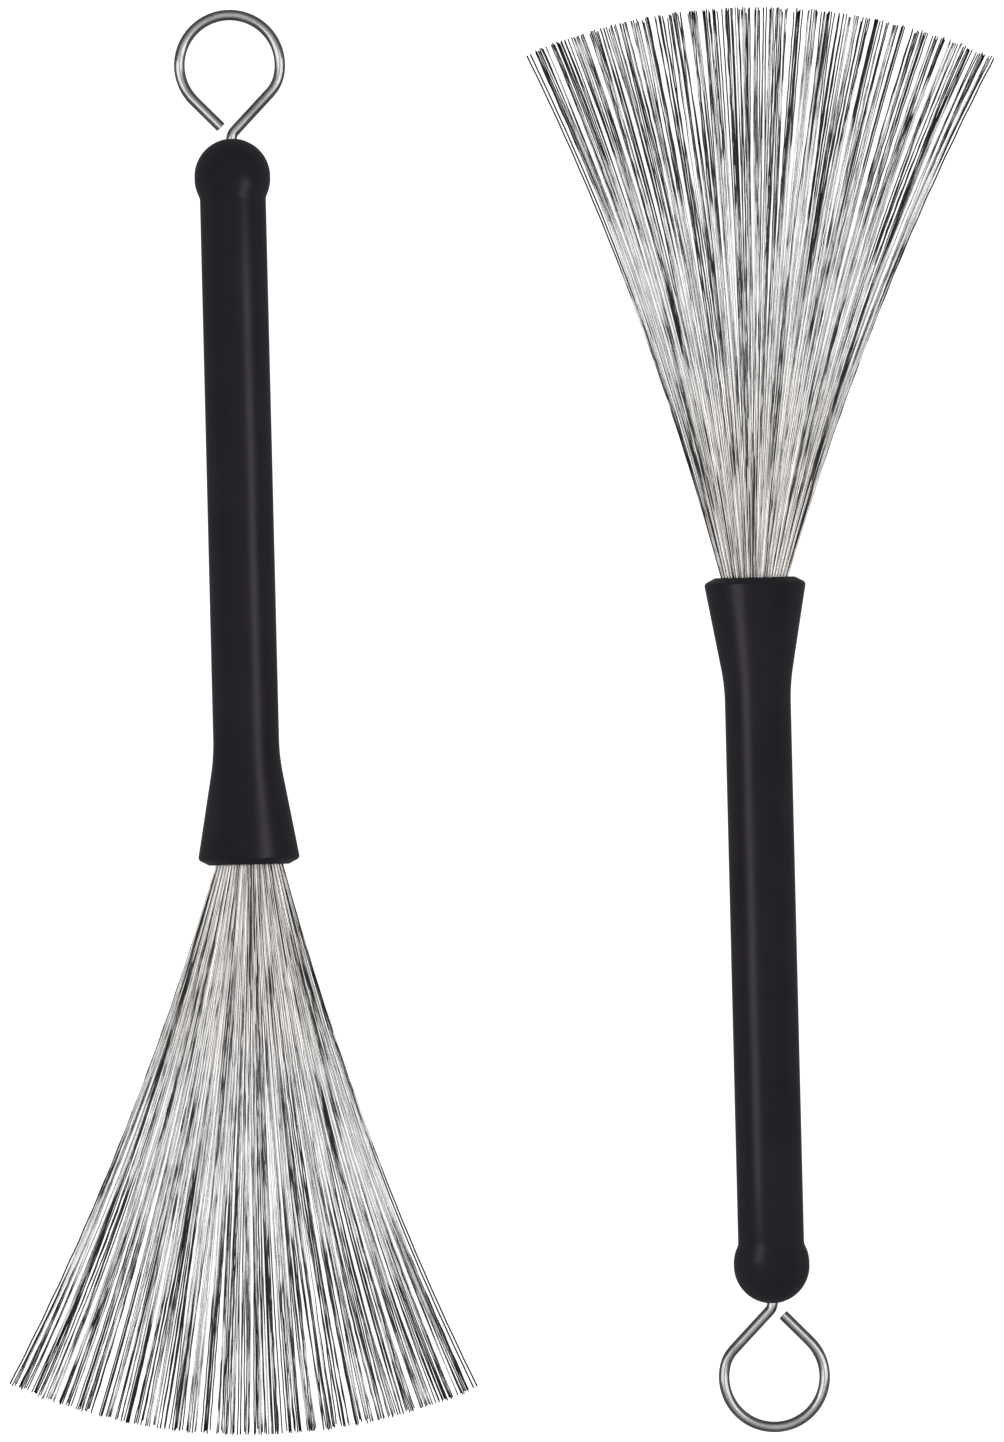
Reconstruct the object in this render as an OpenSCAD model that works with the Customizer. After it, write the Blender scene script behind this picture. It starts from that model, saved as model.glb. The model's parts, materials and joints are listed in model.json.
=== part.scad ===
// A pair of wire drum brushes, lying flat side by side and head to tail.
// Each brush is a rubber sleeve over a metal tube. A pull rod, with a loop at its rear end, runs
// through the tube and carries the fan of wires, so pulling the loop draws the wires in.

/* [Handle sleeve] */
// Diameter of the rubber sleeve along the grip
grip_d = 15.3; // [14.6:0.1:18]
// Length of the sleeve, from the back of the ball to the mouth
grip_len = 168.2; // [140:0.2:202]
// How far the ball at the rear end stands out from the grip
ball_rise = 1.15; // [0.6:0.05:3]
// Diameter of the opening in the mouth
mouth_d = 17; // [15:0.1:20]
// Thickness of the flared rim round the mouth
rim_wall = 3.2; // [2.6:0.1:5.6]
// Slope of the flare, from the axis
flare_angle = 10; // [9:0.5:12]

/* [Handle tube] */
// Inner diameter of the tube
tube_bore = 11.2; // [10.8:0.1:11.6]
// Wall thickness of the tube
tube_wall = 0.7; // [0.5:0.05:0.85]

/* [Pull rod] */
// Diameter of the rod and its loop
rod_d = 2.5; // [2:0.1:3]
// Outer diameter of the loop
loop_d = 25.8; // [22:0.2:31]
// Gap between the back of the ball and the loop's circle
loop_gap = 4.1; // [3.6:0.1:8]

/* [Fan of wires] */
// Wires side by side across the fan
wire_columns = 24; // [12:1:24]
// Layers of wires through the thickness of the fan
wire_layers = 11; // [4:1:11]
// Diameter of one wire
wire_d = 0.3; // [0.2:0.02:0.3]
// Reach of the middle wires beyond the mouth
fan_reach = 132; // [110:1:134]
// Slope of the outermost wires along their outer stretch, from the middle of the fan
outer_angle = 22; // [13:0.2:24]
// Sideways lean of the whole fan
fan_lean = 2.4; // [0:0.2:2.8]
// Thickness of the fan at its tips
tip_thickness = 8.5; // [5:0.5:9]

/* [Pair] */
// Distance between the axes of the two handles
pair_gap = 118.6; // [99:0.2:142]
// Distance of each ball's centre from the middle of the pair
ball_offset = 127.6; // [106:0.2:153]

/* [Hidden] */
PIECES = [
    "grip", "handle_tube", "rear_bush", "friction_ring", "ring_washer",
    "guide_piston", "stop_collar", "pull_rod", "wire_clamp", "wires"
];
$fn = 96;
beyond = 1; // how far a cut runs past the face that it opens

// Fits: contact fits share a surface, running fits have these gaps all round
rod_gap = 0.05; // rod in the bush, and guide piston on the rod
piston_gap = 0.1; // guide piston in the tube
ring_gap = 0.03; // friction ring on the rod
loose_gap = 0.3; // rod through the washer
exit_gap = 0.4; // rod through the ball

rod_r = rod_d / 2;
grip_r = grip_d / 2;
ball_r = grip_r + ball_rise;
mouth_r = mouth_d / 2;
rim_r = mouth_r + rim_wall;
tube_r = tube_bore / 2;
tube_outer_r = tube_r + tube_wall;

// Outside of the ball: a sphere, then a rounding that starts further forward, and a fillet to the grip
ball_stretch = 0.55;
ball_front_r = ball_r - 0.01; // a hair smaller, so that it crosses the sphere instead of touching it
ball_front_z = ball_r + ball_stretch;
neck_fillet = 2.5;
neck_slope = acos((grip_r + neck_fillet) / (ball_front_r + neck_fillet));
neck_z = ball_front_z + (ball_front_r + neck_fillet) * sin(neck_slope);

// Outside of the flare: a concave sweep, a cone, a rounded rim and a chamfer to the face
sweep_r = 46;
rim_fillet = 1;
face_wall = 0.8;
face_r = mouth_r + face_wall;
chamfer_normal = 62.5;
fillet_x = rim_r - rim_fillet;
fillet_z = grip_len
    - (rim_fillet - (face_r - fillet_x) * cos(chamfer_normal)) / sin(chamfer_normal);
cone_top = [fillet_x + rim_fillet * cos(flare_angle), fillet_z - rim_fillet * sin(flare_angle)];
cone_start_r = grip_r + sweep_r * (1 - cos(flare_angle));
cone_start_z = cone_top.y - (cone_top.x - cone_start_r) / tan(flare_angle);
sweep_z = cone_start_z - sweep_r * sin(flare_angle);

// Handle tube: straight, then belled inside the flare, and held by a lip of the sleeve
ball_skin = 1.075; // of the sleeve, outside the tube's rear edge
tube_z = ball_r - sqrt(ball_r * ball_r - (tube_outer_r + ball_skin) * (tube_outer_r + ball_skin));
lip = 1.2;
bell_len = 17;
bell_gap = 0.2;
bell_end_z = grip_len - lip;
bell_z = bell_end_z - bell_len;
bell_end_r = mouth_r - bell_gap;

// Rear bush, with a pocket for the friction ring and its washer
bush_len = 8;
pocket_r = 3.1;
pocket_z = tube_z + 4.4;
ring_len = 1.8;
washer_len = 1;

// Moving pieces on the rod, placed back from the mouth
clamp_back = 21.2; // from the clamp's rear face to the mouth
clamp_z = grip_len - clamp_back;
clamp_len = 9;
clamp_r = tube_r - 0.2;
socket_depth = 5;
slot_depth = 1.5;
slot_room = 0.35;
piston_len = 5;
piston_play = 0.5; // between the piston and the clamp
piston_z = clamp_z - piston_play - piston_len;
collar_len = 2.3;
collar_play = 0.1; // between the piston and the collar
collar_z = piston_z - collar_play - collar_len;
collar_r = 2.6;

// Wires: a close grid at the clamp, opening out with one slight bend each
wire_r = wire_d / 2;
wire_pitch = 1.1 * wire_d; // wide enough for the slanting wires to stay apart
root_w = (wire_columns - 1) * wire_pitch;
root_t = (wire_layers - 1) * wire_pitch;
seat_gap = 0.05; // keeps the slanting ends of the wires off the slot's floor
wire_start_z = clamp_z + clamp_len - slot_depth + seat_gap;
root_shift = 0.125 * fan_lean; // sideways, so that a leaning fan still clears the mouth
wire_len = fan_reach + grip_len - wire_start_z;
tip_trim = 2; // how much shorter the outermost wires are
mouth_room = mouth_r - 0.65; // how far from the axis a wire may pass the mouth
mouth_angle = atan((mouth_room - root_w / 2 + root_shift) / (grip_len - wire_start_z)) - fan_lean;
root_share = 0.72; // slope of a wire before its bend, as a share of its slope beyond it
root_angle = min(root_share * outer_angle, mouth_angle);
layer_angle = atan((tip_thickness - wire_d - root_t) / 2 / wire_len);
golden_step = 0.618034; // shift from layer to layer, so that the wires show between each other
elbow_share = 0.25; // where a wire bends, as a share of its length
wire_outer_r = 0.94 * wire_r; // a hair thinner beyond the bend
elbow_lap = 0.15 * wire_r; // the outer stretch runs this far into the inner one

// Loop: a circle, with one leg that ends free and one that bends into the rod
loop_r = loop_d / 2 - rod_r;
loop_z = -(loop_gap + loop_d / 2);
leg_vertex_z = -0.9; // where the lines of the leg and of the rod meet
neck_r = 3;
shoulder_r = 0.68 * loop_r;
leg_line = 0.96 * loop_r; // how far the leg's line passes from the middle of the circle
leg_angle = asin(leg_line / (leg_vertex_z - loop_z));
leg_along = (leg_vertex_z - loop_z) * cos(leg_angle);
shoulder_along = sqrt((loop_r - leg_line) * (loop_r + leg_line - 2 * shoulder_r));
shoulder_start = leg_angle - atan(shoulder_along / (leg_line - shoulder_r));
neck_len = neck_r * tan(leg_angle / 2);
joint_step = 0.01; // neighbouring lengths of the rod differ by this in radius
joint_lap = 0.02; // and the thinner one runs this far into the other
free_leg_gap = 3.4; // how far the free leg stops short of the rod's axis, along itself
free_leg_len = loop_r / tan(leg_angle) - free_leg_gap;

// Lying flat, a brush touches the ground at its ball and at its rim
rest_rise = fillet_z - ball_r;
rest_tilt = atan(fillet_x / rest_rise)
    - asin((ball_r - rim_fillet) / norm([fillet_x, rest_rise]));

function fraction(x) = x - floor(x);

function arc_points(center, radius, from, to, steps) = [
    for (i = [0:steps])
        let (a = from + (to - from) * i / steps)
        center + radius * [cos(a), sin(a)]
];

// Each brush is drawn along +Z from the back of its ball, then laid down.
module brush(turn) {
    rotate([0, 0, turn])
        translate([-pair_gap / 2, ball_offset, ball_r])
            rotate([90 - rest_tilt, 0, 0])
                translate([0, 0, -ball_r])
                    children();
}

module left() {
    brush(0) children();
}

module right() {
    brush(180) children();
}

module washer(z, len, outer_r, hole_r) {
    difference() {
        translate([0, 0, z])
            cylinder(h = len, r = outer_r);
        translate([0, 0, z - beyond])
            cylinder(h = len + 2 * beyond, r = hole_r);
    }
}

// Space that the handle tube fills, and the way out through the lip
module tube_outside() {
    translate([0, 0, tube_z])
        cylinder(h = bell_z - tube_z, r = tube_outer_r);
    translate([0, 0, bell_z])
        cylinder(h = bell_len, r1 = tube_outer_r, r2 = bell_end_r + tube_wall);
}

module grip() {
    outline = concat(
        [[0, ball_r], [ball_front_r, ball_r]],
        arc_points([0, ball_front_z], ball_front_r, 0, 0.9 * neck_slope, 9),
        arc_points([grip_r + neck_fillet, neck_z], neck_fillet, 180 + neck_slope, 180, 6),
        arc_points([grip_r + sweep_r, sweep_z], sweep_r, 180, 180 - flare_angle, 10),
        arc_points([fillet_x, fillet_z], rim_fillet, -flare_angle, chamfer_normal, 9),
        [[face_r, grip_len], [0, grip_len]]
    );
    color([0.15, 0.14, 0.165])
        difference() {
            union() {
                translate([0, 0, ball_r])
                    sphere(r = ball_r);
                rotate_extrude()
                    polygon(outline);
            }
            tube_outside();
            translate([0, 0, bell_end_z - beyond])
                cylinder(h = lip + 2 * beyond, r = mouth_r);
            translate([0, 0, -beyond])
                cylinder(h = tube_z + 2 * beyond, r = rod_r + exit_gap);
        }
}

module handle_tube() {
    color([0.78, 0.79, 0.8])
        rotate_extrude()
            polygon([
                [tube_r, tube_z],
                [tube_outer_r, tube_z],
                [tube_outer_r, bell_z],
                [bell_end_r + tube_wall, bell_end_z],
                [bell_end_r, bell_end_z],
                [tube_r, bell_z]
            ]);
}

module rear_bush() {
    color([0.9, 0.89, 0.86])
        difference() {
            washer(tube_z, bush_len, tube_r, rod_r + rod_gap);
            translate([0, 0, pocket_z])
                cylinder(h = bush_len, r = pocket_r);
        }
}

module friction_ring() {
    color([0.2, 0.2, 0.2])
        washer(pocket_z, ring_len, pocket_r, rod_r + ring_gap);
}

module ring_washer() {
    color([0.7, 0.7, 0.72])
        washer(pocket_z + ring_len, washer_len, pocket_r, rod_r + loose_gap);
}

module guide_piston() {
    color([0.9, 0.89, 0.86])
        washer(piston_z, piston_len, tube_r - piston_gap, rod_r + rod_gap);
}

module stop_collar() {
    color([0.8, 0.66, 0.38])
        washer(collar_z, collar_len, collar_r, rod_r);
}

// A round bend of the rod in the XY plane
module rod_bend(center, radius, from, turn, section_r) {
    translate(center)
        rotate([0, 0, from])
            rotate_extrude(angle = turn)
                translate([radius, 0])
                    circle(r = section_r);
}

// A bend that laps into the lengths at both its ends
module lapped_bend(center, radius, from, turn) {
    lap = joint_lap / radius * 180 / PI;
    rod_bend(center, radius, from - lap, turn + 2 * lap, rod_r - joint_step);
}

// A straight of the rod in the XY plane
module rod_straight(start, direction, len, section_r) {
    translate(start)
        rotate([0, 90, direction])
            cylinder(h = len, r = section_r);
}

module loop() {
    across = [cos(leg_angle), sin(leg_angle)];
    along = [-sin(leg_angle), cos(leg_angle)];
    center = [0, loop_z];
    leg_start = center + leg_line * across - shoulder_along * along;
    free_leg_start = center + loop_r * [-across.x, across.y];
    free_leg_way = [-along.x, along.y];
    neck_top = leg_vertex_z + neck_len;
    rod_bend(center, loop_r, 180 - leg_angle, 180 + leg_angle + shoulder_start, rod_r);
    rod_straight(
        free_leg_start - joint_lap * free_leg_way,
        90 - leg_angle,
        free_leg_len + joint_lap,
        rod_r - joint_step
    );
    lapped_bend(leg_start - shoulder_r * across, shoulder_r, shoulder_start, leg_angle - shoulder_start);
    rod_straight(leg_start, 90 + leg_angle, shoulder_along + leg_along - neck_len, rod_r);
    lapped_bend([neck_r, neck_top], neck_r, 180, leg_angle);
    rod_straight([0, neck_top], 90, clamp_z + socket_depth - neck_top, rod_r);
}

module pull_rod() {
    color([0.72, 0.72, 0.74])
        rotate([90, 0, 0])
            loop();
}

// Round plug with a slot in front for the wires and a socket behind for the rod
module wire_clamp() {
    slot_w = root_w + wire_d + 2 * (slot_room + root_shift);
    slot_t = root_t + wire_d + slot_room;
    color([0.8, 0.66, 0.38])
        difference() {
            translate([0, 0, clamp_z])
                cylinder(h = clamp_len, r = clamp_r);
            translate([0, 0, clamp_z - beyond])
                cylinder(h = socket_depth + beyond, r = rod_r);
            translate([-slot_w / 2, -slot_t / 2, clamp_z + clamp_len - slot_depth])
                cube([slot_w, slot_t, slot_depth + beyond]);
        }
}

// One wire that leaves along +Z and takes a slight bend toward +X, or toward -X when it is negative
module wire(len, bend) {
    elbow_z = elbow_share * len;
    cylinder(h = elbow_z, r = wire_r);
    translate([0, 0, elbow_z])
        rotate([0, bend, 0])
            translate([0, 0, -elbow_lap])
                cylinder(h = len - elbow_z + elbow_lap, r = wire_outer_r);
}

module wires() {
    color([0.68, 0.68, 0.67])
        for (layer = [0:wire_layers - 1])
            for (column = [0:wire_columns - 1]) {
                share = 2 * (column + fraction(layer * golden_step)) / wire_columns - 1;
                height = 2 * layer / (wire_layers - 1) - 1;
                translate([
                    (column - (wire_columns - 1) / 2) * wire_pitch + root_shift,
                    height * root_t / 2,
                    wire_start_z
                ])
                    rotate([-height * layer_angle, 0, 0])
                        rotate([0, share * root_angle - fan_lean, 0])
                            wire(wire_len - tip_trim * share * share, share * (outer_angle - root_angle));
            }
}

left() grip();  // left_grip
left() handle_tube();  // left_handle_tube
left() rear_bush();  // left_rear_bush
left() friction_ring();  // left_friction_ring
left() ring_washer();  // left_ring_washer
left() guide_piston();  // left_guide_piston
left() stop_collar();  // left_stop_collar
left() pull_rod();  // left_pull_rod
left() wire_clamp();  // left_wire_clamp
left() wires();  // left_wires
right() grip();  // right_grip
right() handle_tube();  // right_handle_tube
right() rear_bush();  // right_rear_bush
right() friction_ring();  // right_friction_ring
right() ring_washer();  // right_ring_washer
right() guide_piston();  // right_guide_piston
right() stop_collar();  // right_stop_collar
right() pull_rod();  // right_pull_rod
right() wire_clamp();  // right_wire_clamp
right() wires();  // right_wires
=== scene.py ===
"""Looks for a pair of wire drum brushes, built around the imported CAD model. Lengths are in metres."""

import json
import math

import bpy
import numpy as np
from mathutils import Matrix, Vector


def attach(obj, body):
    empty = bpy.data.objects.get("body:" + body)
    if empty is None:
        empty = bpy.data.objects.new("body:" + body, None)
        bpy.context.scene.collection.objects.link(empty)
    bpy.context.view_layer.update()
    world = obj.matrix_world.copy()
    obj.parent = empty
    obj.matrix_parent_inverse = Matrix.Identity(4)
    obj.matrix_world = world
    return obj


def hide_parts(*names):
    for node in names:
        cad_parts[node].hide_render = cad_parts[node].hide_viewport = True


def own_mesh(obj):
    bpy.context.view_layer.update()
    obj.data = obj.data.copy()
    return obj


MM = 0.001
SIDES = ("left", "right")

# Wires of one fan
SEED = 7
COLUMNS = 24
LAYERS = 11
WIRE_RADIUS = 0.15 * MM
WIRE_PITCH = 0.33 * MM  # at the clamp, across the fan and through it
ROOT_SHIFT = 0.6 * MM  # sideways at the clamp, against the lean
LEAN = math.radians(2.05)
ROOT_ANGLE = math.radians(15.2)  # of the outermost wires at the clamp
TIP_ANGLE = math.radians(26.7)  # of the outermost wires at their tips
SPLAY_GROWTH = 1.15
TIP_THICKNESS = 6.6 * MM
TIP_TRIM = 2.0 * MM  # how much shorter the outermost wires are
TIP_SCATTER = 0.5 * MM
GOLDEN_STEP = 0.618034  # shift from layer to layer, so that the wires show between each other
RINGS = 63
RING_SIDES = 6

# Clusters that the wires gather in; places across the fan run from -1 to 1
CLUMPS = 37
CLUMP_SPAN = (-0.955, 0.94)
CLUMP_JITTER = 0.6  # as a share of the clusters' spacing
CLUMP_PULL = (0.1, 0.8)
CLUMP_GROWTH = 0.75

# Strays outside the clusters: (layer, column) and place
STRAYS = {(0, 0): -1.0, (8, 23): 1.0, (3, 23): 0.977}
STRAY_GROWTH = 0.3
STRAY_CALM = 0.3  # wander of a stray, as a share of the others'
STRAY_SHADE = -0.06
STRAY_THICKNESS = 1.25

# Waviness of single wires: size, and the range of cycles along a wire
WANDER = 0.45 * MM
WANDERS = (0.8, 2.2)
WANDER_GROWTH = 1.4
CRIMP = 0.06 * MM
CRIMPS = (12, 22)
CRIMP_FADE = (0.08, 0.38)  # stretch of a wire over which the crimps come in
WAVE_SPREAD = 0.7

# Tone of the wires, painted shade and highlights for their shadows on one another and their flickering
# reflections: weight of each pattern, change of tone along the fan, and the greys of the tones
BANDS, BUNDLES, STREAKS, DASHES = 0.33, 0.32, 0.25, 0.12
SHADE_SPREAD = 0.025
# Painted shade at the root, painted light in the middle and painted shade towards the tips, as offsets of tone
# along a wire
ROOT_SHADE = -0.012
MIDDLE_SHADE = 0.005
MIDDLE_START = (0.035, 0.052)
TIP_SHADE = -0.07
TIP_START = (0.085, 0.115)
# Greys from near black for painted shade to near white for painted highlights
WIRE_GREYS = ((0.435, 0.03), (0.465, 0.1), (0.49, 0.5), (0.55, 0.78), (0.64, 0.98))
# Painted warm reflection on the wires near the root, and the stretch along a wire over which it fades out
PAINTED_WARM_REFLECTION = (1.0, 0.95, 0.9)
PAINTED_REFLECTION_STRETCH = (0.02, 0.08)

# Rubber of the sleeves
RUBBER_DARK = (0.0255, 0.0222, 0.0293)
RUBBER_LIGHT = (0.0312, 0.0272, 0.0358)

# Studio
FLOOR_HALF = 3.0
FLOOR_GLOW = 0.95
SKY_GREYS = ((0.0, 0.2), (0.25, 0.14), (0.6, 0.33), (0.85, 0.75), (1.0, 0.95))
BOX_PLACE = (1.4, 0, 1.6)
BOX_SIZE = (1.0, 2.4)
BOX_POWER = 14
STRIP_PLACE = (0, 0, 0.075)
STRIP_SIZE = (0.042, 0.245)
STRIP_POWER = 0.29
STRIP_COLOUR = (0.97, 0.9, 1.0)

# Camera
CAMERA_HEIGHT = 3.0
AXIS_HEIGHT = 0.01
VIEW_HEIGHT = 0.3338
CAMERA_ROLL = math.radians(-1.4247)
SENSOR = 36.0
CLIP_END = 20

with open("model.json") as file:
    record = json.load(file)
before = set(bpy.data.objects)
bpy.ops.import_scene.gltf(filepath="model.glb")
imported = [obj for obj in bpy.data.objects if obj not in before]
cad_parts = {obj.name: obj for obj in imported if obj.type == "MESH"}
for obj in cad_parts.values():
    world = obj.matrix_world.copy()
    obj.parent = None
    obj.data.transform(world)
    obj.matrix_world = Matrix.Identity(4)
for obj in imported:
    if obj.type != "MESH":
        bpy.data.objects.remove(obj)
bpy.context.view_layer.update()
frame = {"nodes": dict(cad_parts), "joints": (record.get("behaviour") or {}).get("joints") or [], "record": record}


def joint(name):
    """The record of one joint."""
    return next(j for j in frame["joints"] if j["name"] == name)


class Brush:
    """Where one brush lies: a point on its axis, and its side, up and forward directions."""

    def __init__(self, side):
        self.name = side
        self.forward = -Vector(joint(side + "_rod_slide")["axis"]).normalized()
        self.side = Vector((0, 0, 1)).cross(self.forward).normalized()
        self.up = self.forward.cross(self.side)
        self.origin = Vector(joint(side + "_rod_swivel")["pos_m"])

    def reach(self, node):
        """How far forward along the axis a CAD node starts and ends."""
        mesh = frame["nodes"][f"{self.name}_{node}"].data
        points = np.empty(3 * len(mesh.vertices))
        mesh.vertices.foreach_get("co", points)
        forward = (points.reshape(-1, 3) - np.array(self.origin)) @ np.array(self.forward)
        return float(forward.min()), float(forward.max())

    def to_frame(self, points, start):
        """Points given as (side, up, forward) from a place along the axis, in the row frame."""
        basis = np.array([self.side, self.up, self.forward])
        return points @ basis + np.array(self.origin + start * self.forward)


# ---------------------------------------------------------------- node helpers


def new_material(name):
    """A material with its node tree, its shader and a function that adds nodes."""
    material = bpy.data.materials.new(name)
    material.use_nodes = True
    tree = material.node_tree
    shader = tree.nodes["Principled BSDF"]

    def add(kind, **settings):
        node = tree.nodes.new("ShaderNode" + kind)
        for key, value in settings.items():
            setattr(node, key, value)
        return node

    return material, tree, shader, add


def grey(level):
    """A neutral colour."""
    return (level, level, level)


def noise(tree, add, vector, scale=1.0, detail=3.0, roughness=0.5):
    """A noise texture on a coordinate."""
    node = add("TexNoise")
    node.inputs["Scale"].default_value = scale
    node.inputs["Detail"].default_value = detail
    node.inputs["Roughness"].default_value = roughness
    tree.links.new(vector, node.inputs["Vector"])
    return node.outputs["Fac"]


def ramp(tree, add, value, stops):
    """A colour ramp; stops are (place, colour) pairs."""
    node = add("ValToRGB")
    elements = node.color_ramp.elements
    while len(elements) < len(stops):
        elements.new(0.5)
    for element, (place, colour) in zip(elements, stops):
        element.position = place
        element.color = (*colour, 1.0)
    tree.links.new(value, node.inputs["Fac"])
    return node.outputs["Color"]


def spread(tree, add, value, low, high, from_low=0.3, from_high=0.7):
    """A value mapped to a range."""
    node = add("MapRange")
    node.inputs["From Min"].default_value = from_low
    node.inputs["From Max"].default_value = from_high
    node.inputs["To Min"].default_value = low
    node.inputs["To Max"].default_value = high
    tree.links.new(value, node.inputs["Value"])
    return node.outputs["Result"]


def weighted(tree, add, parts):
    """A sum of (value, weight) pairs."""
    total = None
    for value, weight in parts:
        node = add("Math", operation="MULTIPLY_ADD")
        tree.links.new(value, node.inputs[0])
        node.inputs[1].default_value = weight
        node.inputs[2].default_value = 0.0
        if total is not None:
            tree.links.new(total, node.inputs[2])
        total = node.outputs["Value"]
    return total


def bump(tree, add, shader, height, distance, strength=1.0):
    """Bump from a height."""
    node = add("Bump")
    node.inputs["Strength"].default_value = strength
    node.inputs["Distance"].default_value = distance
    tree.links.new(height, node.inputs["Height"])
    tree.links.new(node.outputs["Normal"], shader.inputs["Normal"])


def stretched(tree, add, vector, scale):
    """A coordinate scaled by a different amount along each axis."""
    node = add("Mapping")
    node.inputs["Scale"].default_value = scale
    tree.links.new(vector, node.inputs["Vector"])
    return node.outputs["Vector"]


# ---------------------------------------------------------------- materials


def sleeve_rubber():
    """Satin black moulded rubber with a fine grain and slight handling marks."""
    material, tree, shader, add = new_material("sleeve_rubber")
    place = add("TexCoord").outputs["Object"]
    cloud = noise(tree, add, place, scale=60, detail=4)
    grain = noise(tree, add, place, scale=5200, detail=2)
    rubs = noise(tree, add, stretched(tree, add, place, (900, 60, 900)), detail=4, roughness=0.65)
    colour = ramp(tree, add, cloud, [(0.35, RUBBER_DARK), (0.65, RUBBER_LIGHT)])
    tree.links.new(colour, shader.inputs["Base Color"])
    tree.links.new(spread(tree, add, rubs, low=0.29, high=0.36), shader.inputs["Roughness"])
    bump(tree, add, shader, grain, distance=0.012 * MM, strength=0.6)
    shader.inputs["Specular IOR Level"].default_value = 0.06
    return material


def metal(name, dark, light, rough, grain_scale=(1, 1, 1)):
    """Bare metal with fine scratches and slight tarnish."""
    material, tree, shader, add = new_material(name)
    place = add("TexCoord").outputs["Object"]
    cloud = noise(tree, add, place, scale=220, detail=4)
    grain = stretched(tree, add, place, grain_scale)
    lines = noise(tree, add, grain, scale=1800, detail=3, roughness=0.6)
    tree.links.new(ramp(tree, add, cloud, [(0.3, dark), (0.7, light)]), shader.inputs["Base Color"])
    tree.links.new(spread(tree, add, lines, rough[0], rough[1]), shader.inputs["Roughness"])
    bump(tree, add, shader, lines, distance=0.01 * MM, strength=0.5)
    shader.inputs["Metallic"].default_value = 1.0
    return material


def nylon():
    """Off-white turned nylon."""
    material, tree, shader, add = new_material("nylon")
    place = add("TexCoord").outputs["Object"]
    cloud = noise(tree, add, place, scale=180, detail=3)
    lines = noise(tree, add, stretched(tree, add, place, (300, 6000, 300)), detail=2)
    tree.links.new(
        ramp(tree, add, cloud, [(0.3, (0.7, 0.68, 0.62)), (0.7, (0.82, 0.81, 0.77))]),
        shader.inputs["Base Color"],
    )
    tree.links.new(spread(tree, add, lines, low=0.35, high=0.5), shader.inputs["Roughness"])
    bump(tree, add, shader, lines, distance=0.02 * MM, strength=0.5)
    return material


def ring_rubber():
    """Matte black ring."""
    material, tree, shader, add = new_material("ring_rubber")
    place = add("TexCoord").outputs["Object"]
    grain = noise(tree, add, place, scale=4000, detail=2)
    colour = ramp(tree, add, grain, [(0.3, grey(0.015)), (0.7, grey(0.03))])
    tree.links.new(colour, shader.inputs["Base Color"])
    tree.links.new(spread(tree, add, grain, low=0.6, high=0.75), shader.inputs["Roughness"])
    bump(tree, add, shader, grain, distance=0.02 * MM, strength=0.5)
    return material


def wire_steel():
    """Fine drawn wire, with painted shade and painted highlights that run along wires and bundles, and a painted
    warm reflection at the root.
    """
    material, tree, shader, add = new_material("wire_steel")
    wire = add("UVMap", uv_map="UVMap").outputs["UV"]
    fan = add("UVMap", uv_map="Fan").outputs["UV"]
    split = add("SeparateXYZ")
    tree.links.new(fan, split.inputs["Vector"])
    along = split.outputs["Y"]
    # Painted shade and highlights: bands and bundles across the fan darken clusters of wires as if they shaded one
    # another, streaks and dashes along each wire paint flickering highlights
    shade_bands = noise(tree, add, stretched(tree, add, fan, (11, 16, 1)), detail=1, roughness=0.6)
    shade_bundles = noise(tree, add, stretched(tree, add, fan, (31, 60, 1)), detail=2, roughness=0.6)
    shade_streaks = noise(tree, add, stretched(tree, add, wire, (0.9, 45, 1)), detail=2, roughness=0.6)
    highlight_dashes = noise(tree, add, stretched(tree, add, wire, (3.1, 320, 1)), detail=2, roughness=0.6)
    # Painted shade at the root and towards the tips, painted light in the middle of the fan
    painted_middle_light = spread(tree, add, along, ROOT_SHADE, MIDDLE_SHADE, *MIDDLE_START)
    painted_tip_shade = spread(tree, add, along, 0.0, TIP_SHADE, *TIP_START)
    shade = add("Attribute", attribute_name="shade").outputs["Fac"]
    shade_and_highlight_patterns = ((shade_bands, BANDS), (shade_bundles, BUNDLES), (shade_streaks, STREAKS), (highlight_dashes, DASHES))
    tone_and_painted_light = weighted(tree, add, (*shade_and_highlight_patterns, (painted_middle_light, 1.0), (painted_tip_shade, 1.0), (shade, 1.0)))
    greys = [(place, grey(level)) for place, level in WIRE_GREYS]
    tint = add("Mix", data_type="RGBA", blend_type="MULTIPLY")
    tint.inputs["Factor"].default_value = 1.0
    tree.links.new(ramp(tree, add, tone_and_painted_light, greys), tint.inputs["A"])
    # Painted warm reflection near the root, fading to neutral along the wire
    painted_reflection = spread(tree, add, along, 0.0, 1.0, *PAINTED_REFLECTION_STRETCH)
    tree.links.new(ramp(tree, add, painted_reflection, [(0.0, PAINTED_WARM_REFLECTION), (1.0, grey(1.0))]), tint.inputs["B"])
    tree.links.new(tint.outputs["Result"], shader.inputs["Base Color"])
    tree.links.new(spread(tree, add, highlight_dashes, low=0.2, high=0.4), shader.inputs["Roughness"])
    shader.inputs["Metallic"].default_value = 1.0
    return material


def floor_white():
    """Seamless white paper that glows a little, so shadows stay faint."""
    material, tree, shader, add = new_material("floor_white")
    place = add("TexCoord").outputs["Object"]
    cloud = noise(tree, add, place, scale=9, detail=3)
    colour = ramp(tree, add, cloud, [(0.3, grey(0.86)), (0.7, grey(0.88))])
    tree.links.new(colour, shader.inputs["Base Color"])
    shader.inputs["Roughness"].default_value = 0.9
    shader.inputs["Specular IOR Level"].default_value = 0.0
    shader.inputs["Emission Color"].default_value = (1, 1, 1, 1)
    shader.inputs["Emission Strength"].default_value = FLOOR_GLOW
    return material


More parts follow.
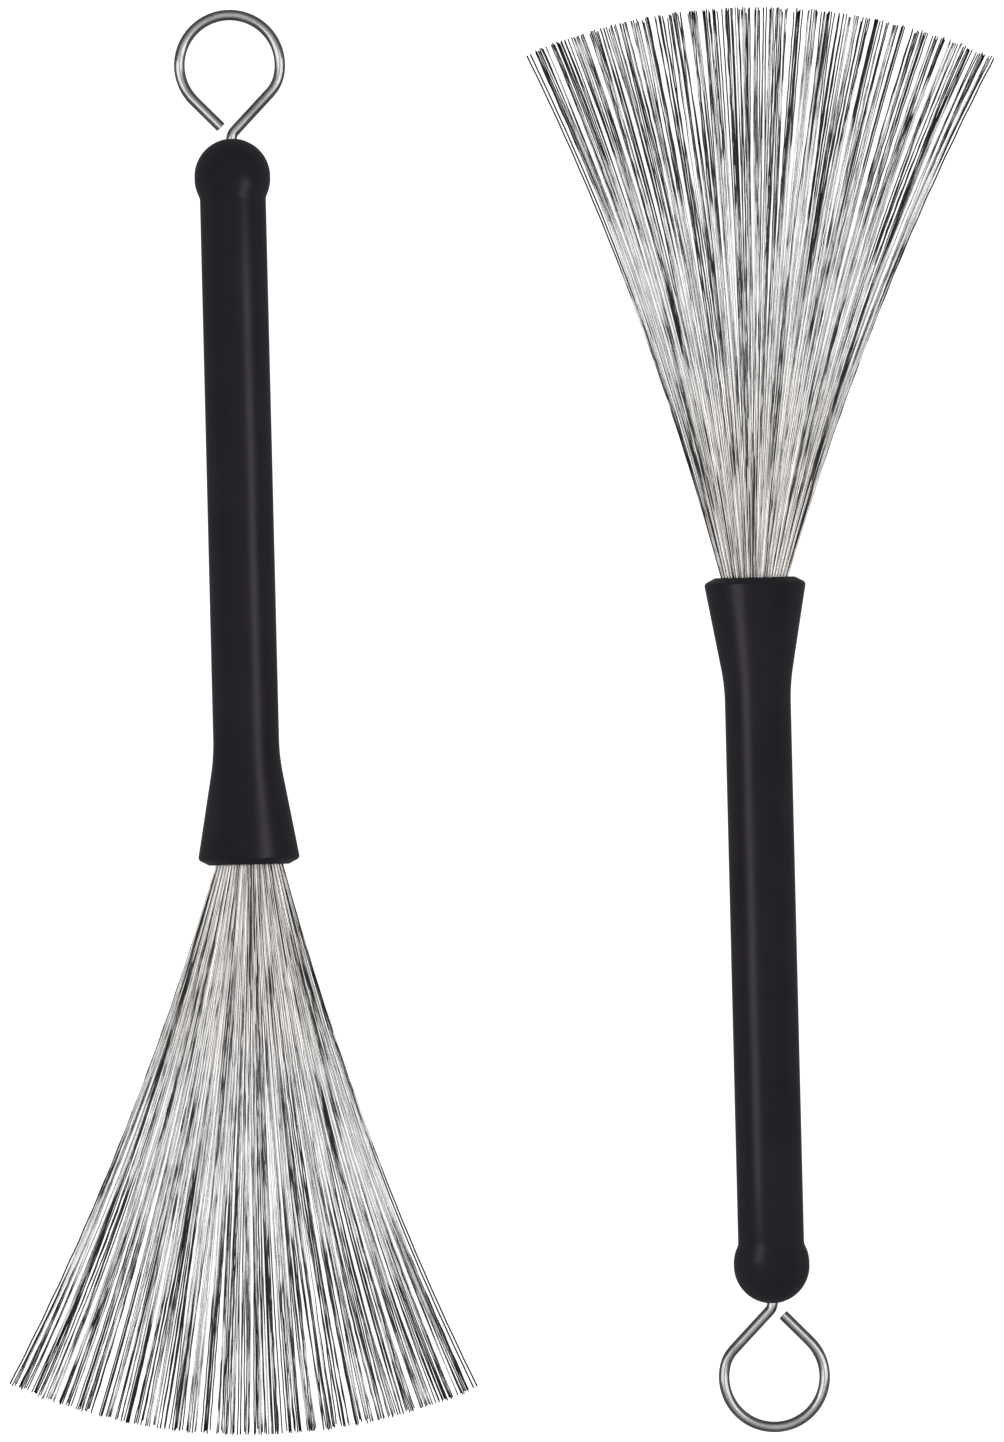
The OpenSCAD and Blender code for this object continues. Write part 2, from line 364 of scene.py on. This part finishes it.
def dress_cad_nodes():
    """Gives each CAD node that stays visible its detailed material."""
    looks = {
        "sleeve_rubber": sleeve_rubber(),
        "tube_metal": metal("tube_metal", grey(0.62), (0.78, 0.79, 0.8), (0.25, 0.4), (1, 0.05, 1)),
        "washer_steel": metal("washer_steel", grey(0.45), grey(0.6), (0.3, 0.45)),
        "rod_steel": metal("rod_steel", grey(0.26), grey(0.42), (0.14, 0.26)),
        "brass": metal("brass", (0.5, 0.33, 0.12), (0.72, 0.52, 0.24), (0.25, 0.4)),
        "nylon": nylon(),
        "ring_rubber": ring_rubber(),
        "wire_steel": metal("wire_plain", grey(0.4), grey(0.6), (0.25, 0.35)),
    }
    for part in frame["record"]["subparts"]:
        cad_node = frame["nodes"][part["node"]]
        cad_node.data.materials.clear()
        cad_node.data.materials.append(looks[part["material_slot"]])


# ---------------------------------------------------------------- wires


def wire_share(column, layer):
    """Where a wire lies across the fan, from -1 to 1."""
    return 2 * (column + (layer * GOLDEN_STEP) % 1.0) / COLUMNS - 1


def wire_line(rng, column, layer, length, clumps):
    """Centre line of one wire as (side, up, forward) points from the clamp, and at each point its
    place across the fan."""
    share = wire_share(column, layer)
    height = 2 * layer / (LAYERS - 1) - 1
    along = np.linspace(0, 1, RINGS)
    centre = clumps[np.argmin(np.abs(clumps - share))]
    pull = rng.uniform(*CLUMP_PULL) * along**CLUMP_GROWTH
    wander = WANDER
    if (layer, column) in STRAYS:
        centre = STRAYS[layer, column]
        pull = along**STRAY_GROWTH
        wander = STRAY_CALM * WANDER
    placed = share + (centre - share) * pull
    angle = placed * (ROOT_ANGLE + (TIP_ANGLE - ROOT_ANGLE) * along**SPLAY_GROWTH) - LEAN
    step = length / (RINGS - 1)
    side = np.concatenate([[0], np.cumsum(np.sin((angle[1:] + angle[:-1]) / 2))]) * step
    forward = np.concatenate([[0], np.cumsum(np.cos((angle[1:] + angle[:-1]) / 2))]) * step
    side += (column - (COLUMNS - 1) / 2) * WIRE_PITCH + ROOT_SHIFT
    root_rise = (LAYERS - 1) / 2 * WIRE_PITCH
    rise = height * (root_rise + (TIP_THICKNESS / 2 - root_rise) * along)
    fade = np.interp(along, CRIMP_FADE, (0, 1))
    for strength, cycles, grow in (
        (wander, rng.uniform(*WANDERS), along**WANDER_GROWTH),
        (CRIMP, rng.uniform(*CRIMPS), fade),
    ):
        turns = 2 * math.pi * (cycles * along + rng.uniform(0, 1))
        side += strength * rng.normal(0, WAVE_SPREAD) * grow * np.sin(turns)
        shift = strength * rng.normal(0, WAVE_SPREAD)
        rise += shift * grow * np.sin(turns + rng.uniform(0, 2 * math.pi))
    return np.stack([side, rise, forward], axis=1), placed


def fan_lines(brush, start):
    """Every wire of a fan: centre line in the row frame, radius, places across the fan and shade.
    Both fans are alike."""
    rng = np.random.default_rng(SEED)
    spacing = (CLUMP_SPAN[1] - CLUMP_SPAN[0]) / (CLUMPS - 1)
    clumps = np.linspace(*CLUMP_SPAN, CLUMPS)
    clumps += CLUMP_JITTER * spacing * rng.uniform(-1, 1, CLUMPS)
    reach = brush.reach("wires")[1] - start
    lines = []
    for layer in range(LAYERS):
        for column in range(COLUMNS):
            trim = TIP_TRIM * wire_share(column, layer) ** 2 + abs(rng.normal(0, TIP_SCATTER))
            points, placed = wire_line(rng, column, layer, reach - trim, clumps)
            if (layer, column) in STRAYS:
                radius, shade = WIRE_RADIUS * STRAY_THICKNESS, STRAY_SHADE
            else:
                radius, shade = WIRE_RADIUS, rng.normal(0, SHADE_SPREAD)
            lines.append((brush.to_frame(points, start), radius, placed, shade))
    return lines


def tubes(name, lines, up):
    """One mesh of closed tubes along lines. One UV map numbers the wires and the other holds their
    places across the fan; both measure along them in metres. An attribute holds each wire's shade."""
    turns = 2 * math.pi * np.arange(RING_SIDES) / RING_SIDES
    points, faces, uvs, fan_uvs, shades = [], [], [], [], []
    for number, (line, radius, placed, shade) in enumerate(lines):
        shades.extend([shade] * (RINGS * RING_SIDES))
        way = np.gradient(line, axis=0)
        way /= np.linalg.norm(way, axis=1)[:, None]
        across = np.cross(way, up)
        across /= np.linalg.norm(across, axis=1)[:, None]
        over = np.cross(across, way)
        ring = np.cos(turns)[:, None] * across[:, None] + np.sin(turns)[:, None] * over[:, None]
        base = number * RINGS * RING_SIDES
        points.append((line[:, None] + radius * ring).reshape(-1, 3))
        run = np.concatenate([[0], np.cumsum(np.linalg.norm(np.diff(line, axis=0), axis=1))])
        for i in range(RINGS - 1):
            for k in range(RING_SIDES):
                after = (k + 1) % RING_SIDES
                faces.append(
                    (
                        base + i * RING_SIDES + k,
                        base + i * RING_SIDES + after,
                        base + (i + 1) * RING_SIDES + after,
                        base + (i + 1) * RING_SIDES + k,
                    )
                )
                u, u_after = number + k / RING_SIDES, number + (k + 1) / RING_SIDES
                uvs.extend(((u, run[i]), (u_after, run[i]), (u_after, run[i + 1]), (u, run[i + 1])))
                near, far = (placed[i], run[i]), (placed[i + 1], run[i + 1])
                fan_uvs.extend((near, near, far, far))
        last = base + (RINGS - 1) * RING_SIDES
        faces.append(tuple(base + k for k in reversed(range(RING_SIDES))))
        faces.append(tuple(last + k for k in range(RING_SIDES)))
        uvs.extend([(number, run[0])] * RING_SIDES + [(number, run[-1])] * RING_SIDES)
        fan_uvs.extend([(placed[0], run[0])] * RING_SIDES + [(placed[-1], run[-1])] * RING_SIDES)
    mesh = bpy.data.meshes.new(name)
    mesh.from_pydata(np.concatenate(points).tolist(), [], faces)
    for layer_name, values in (("UVMap", uvs), ("Fan", fan_uvs)):
        layer = mesh.uv_layers.new(name=layer_name)
        layer.data.foreach_set("uv", np.array(values, np.float32).ravel())
    tones = mesh.attributes.new("shade", "FLOAT", "POINT")
    tones.data.foreach_set("value", np.array(shades, np.float32))
    mesh.polygons.foreach_set("use_smooth", [len(face) == 4 for face in faces])
    mesh.update()
    piece = bpy.data.objects.new(name, mesh)
    bpy.context.scene.collection.objects.link(piece)
    return piece


def wire_fan(brush, material):
    """The fan of separate wires, which moves with the rod."""
    start = brush.reach("wires")[0]
    piece = tubes(f"{brush.name}_wire_fan", fan_lines(brush, start), np.array(brush.up))
    piece.data.materials.append(material)
    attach(piece, brush.name + "_rod")
    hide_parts(brush.name + "_wires")
    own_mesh(piece)
    return piece


# ---------------------------------------------------------------- stage


def floor():
    """A wide plain floor under the object."""
    corners = [(FLOOR_HALF * x, FLOOR_HALF * y, 0) for x, y in ((-1, -1), (1, -1), (1, 1), (-1, 1))]
    mesh = bpy.data.meshes.new("floor")
    mesh.from_pydata(corners, [], [(0, 1, 2, 3)])
    mesh.materials.append(floor_white())
    piece = bpy.data.objects.new("floor", mesh)
    piece.visible_glossy = False
    bpy.context.scene.collection.objects.link(piece)


def softbox(name, place, size, power):
    """A rectangular area light that faces the middle of the floor."""
    data = bpy.data.lights.new(name, "AREA")
    data.shape = "RECTANGLE"
    data.size, data.size_y = size
    data.energy = power
    light = bpy.data.objects.new(name, data)
    light.location = place
    light.rotation_euler = (-Vector(place)).to_track_quat("-Z", "Y").to_euler()
    bpy.context.scene.collection.objects.link(light)
    return light


def studio_walls():
    """A studio that is grey overhead and dark round the horizon, for metal to reflect."""
    world = bpy.data.worlds.new("studio")
    world.use_nodes = True
    tree = world.node_tree
    direction = tree.nodes.new("ShaderNodeTexCoord").outputs["Generated"]
    split = tree.nodes.new("ShaderNodeSeparateXYZ")
    shade = tree.nodes.new("ShaderNodeValToRGB")
    while len(shade.color_ramp.elements) < len(SKY_GREYS):
        shade.color_ramp.elements.new(0.5)
    for element, (place, level) in zip(shade.color_ramp.elements, SKY_GREYS):
        element.position = place
        element.color = (*grey(level), 1)
    tree.links.new(direction, split.inputs["Vector"])
    tree.links.new(split.outputs["Z"], shade.inputs["Fac"])
    tree.links.new(shade.outputs["Color"], tree.nodes["Background"].inputs["Color"])
    bpy.context.scene.world = world


def only_lights(light, name, pieces):
    """Makes a light fall on some pieces alone."""
    lit = bpy.data.collections.new(name)
    for piece in pieces:
        lit.objects.link(piece)
    light.light_linking.receiver_collection = lit


def lights(metal_pieces, sleeves):
    """Soft light from the studio's ceiling, softboxes for the metal and a strip for the sleeves."""
    studio_walls()
    x, y, z = BOX_PLACE
    for name, place in (("box_left", (-x, y, z)), ("box_right", (x, y, z))):
        only_lights(softbox(name, place, BOX_SIZE, BOX_POWER), name + "_lit", metal_pieces)
    strip = softbox("inner_strip", STRIP_PLACE, STRIP_SIZE, STRIP_POWER)
    strip.data.color = STRIP_COLOUR
    strip.visible_diffuse = False
    only_lights(strip, "strip_lit", sleeves)


def camera():
    """Straight down on the pair, with a long lens."""
    data = bpy.data.cameras.new("camera")
    data.sensor_width = SENSOR
    data.lens = SENSOR * CAMERA_HEIGHT / VIEW_HEIGHT
    data.clip_end = CLIP_END
    view = bpy.data.objects.new("camera", data)
    view.location = (0, 0, CAMERA_HEIGHT + AXIS_HEIGHT)
    view.rotation_euler = (0, 0, CAMERA_ROLL)
    bpy.context.scene.collection.objects.link(view)
    bpy.context.scene.camera = view


dress_cad_nodes()
steel = wire_steel()
fans = [wire_fan(Brush(side), steel) for side in SIDES]
floor()
sleeves = [frame["nodes"][side + "_grip"] for side in SIDES]
lights([node for node in frame["nodes"].values() if node not in sleeves] + fans, sleeves)
camera()
bpy.context.scene.view_settings.view_transform = "Standard"
